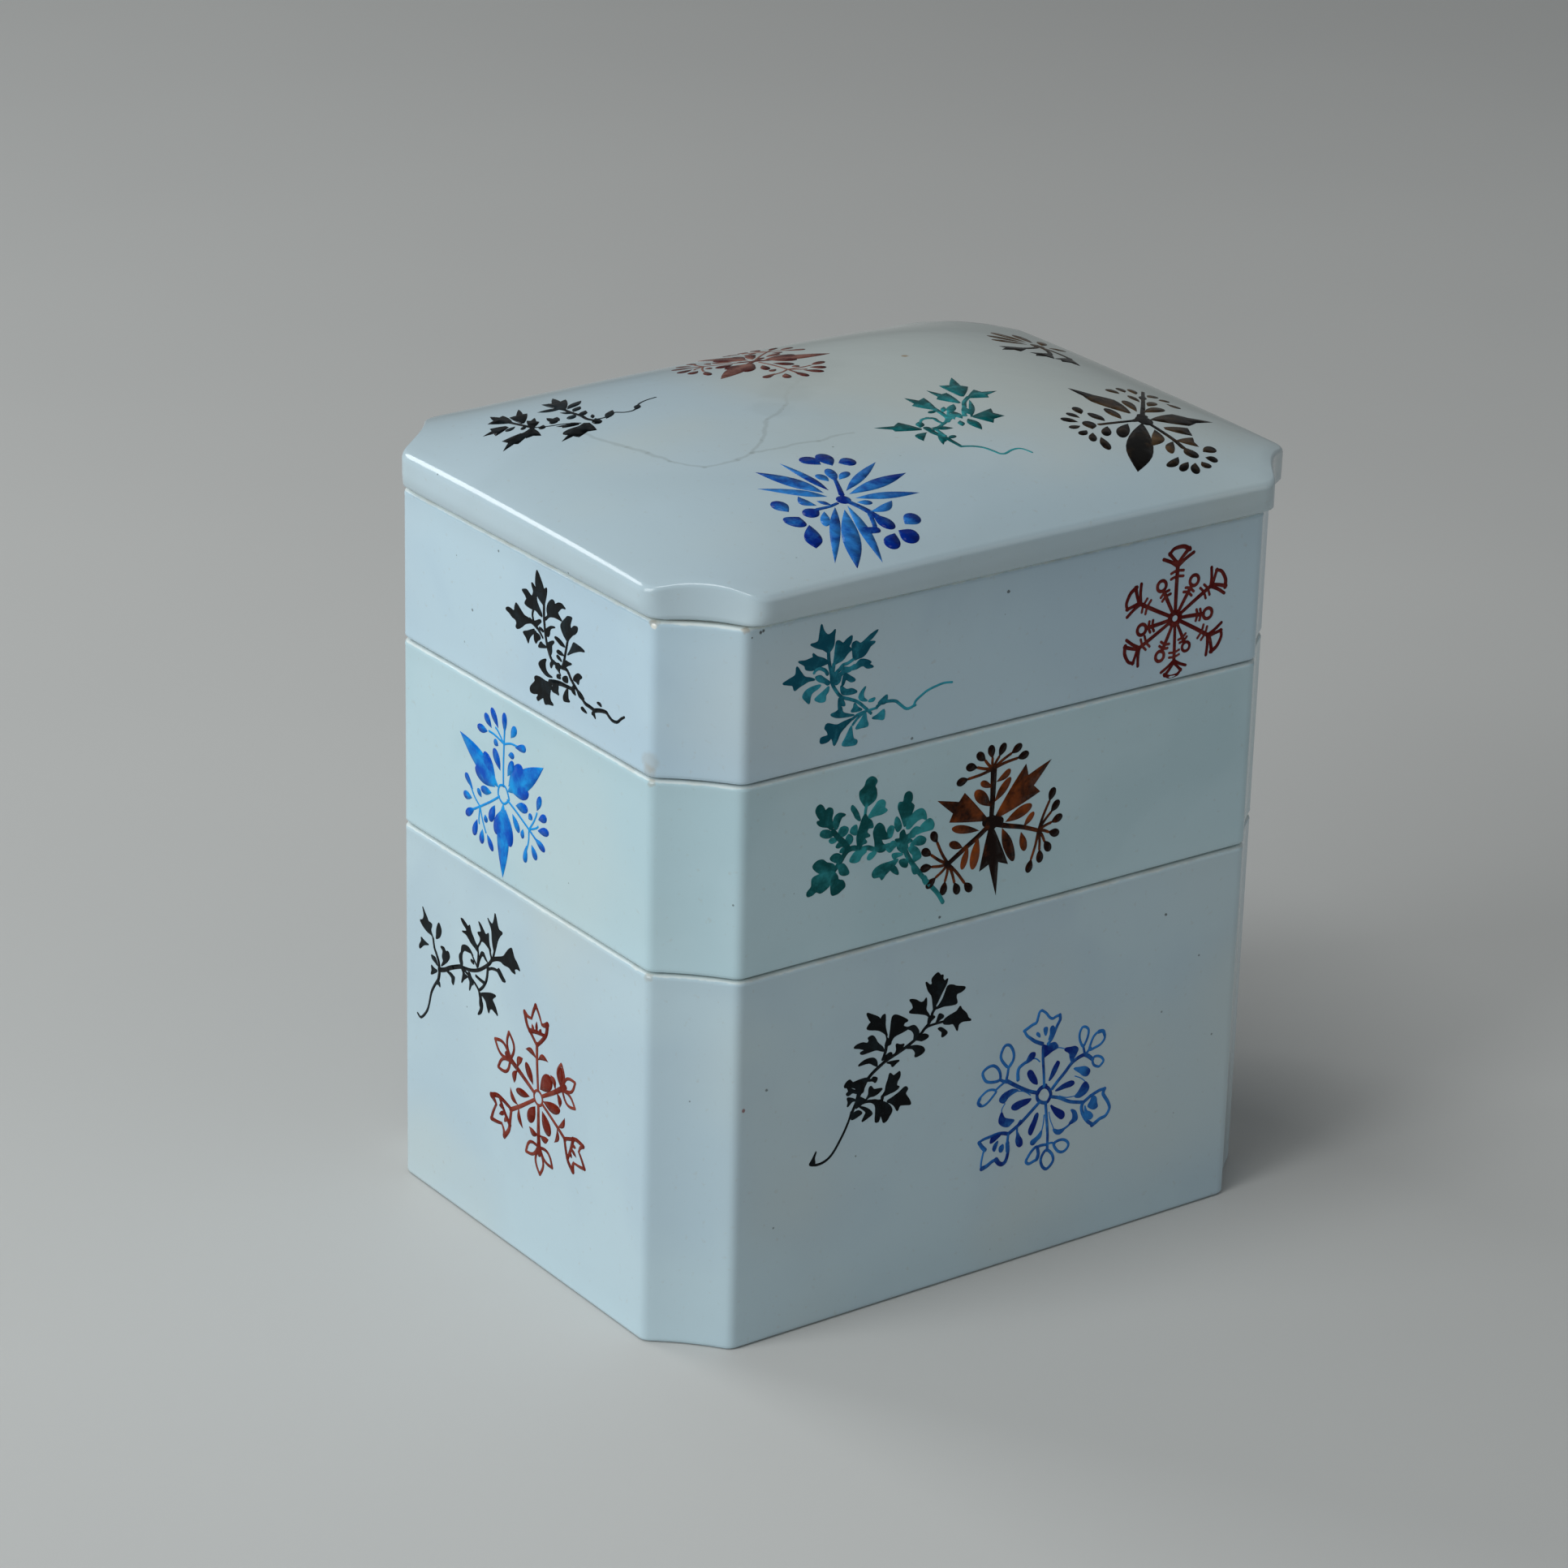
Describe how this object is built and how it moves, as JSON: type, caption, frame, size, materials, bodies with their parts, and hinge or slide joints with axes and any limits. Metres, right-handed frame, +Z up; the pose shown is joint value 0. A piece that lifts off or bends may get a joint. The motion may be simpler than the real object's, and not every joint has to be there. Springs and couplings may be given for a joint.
{
  "type": "stacked food box",
  "caption": "Porcelain stacking food box with hollow-cut corners: nesting open trays on stepped bases under a domed lid that lifts off.",
  "frame": {"origin": "on the table under the middle of the box, at the bottom of the lower tier's foot", "axes": "+Z up, +X along the long side, +Y along the short side from the decorated front to the back"},
  "size_m": [0.1302, 0.0994, 0.141],
  "materials": {
    "porcelain_glaze": "gloss",
    "lid_glaze": "gloss",
    "overglaze_enamel": "gloss"
  },
  "bodies": {
    "lower": {"lower_tier": "porcelain_glaze"},
    "middle": {"middle_tier": "porcelain_glaze"},
    "upper": {"upper_tier": "porcelain_glaze"},
    "cover": {"lid": "lid_glaze"}
  },
  "joints": [
    {"name": "lift_middle", "type": "slide", "parent": "lower", "child": "middle", "axis": [0, 0, 1], "range_m": [0, 0.05]},
    {"name": "lift_upper", "type": "slide", "parent": "middle", "child": "upper", "axis": [0, 0, 1], "range_m": [0, 0.05]},
    {"name": "lift_lid", "type": "slide", "parent": "upper", "child": "cover", "axis": [0, 0, 1], "range_m": [0, 0.05]}
  ]
}
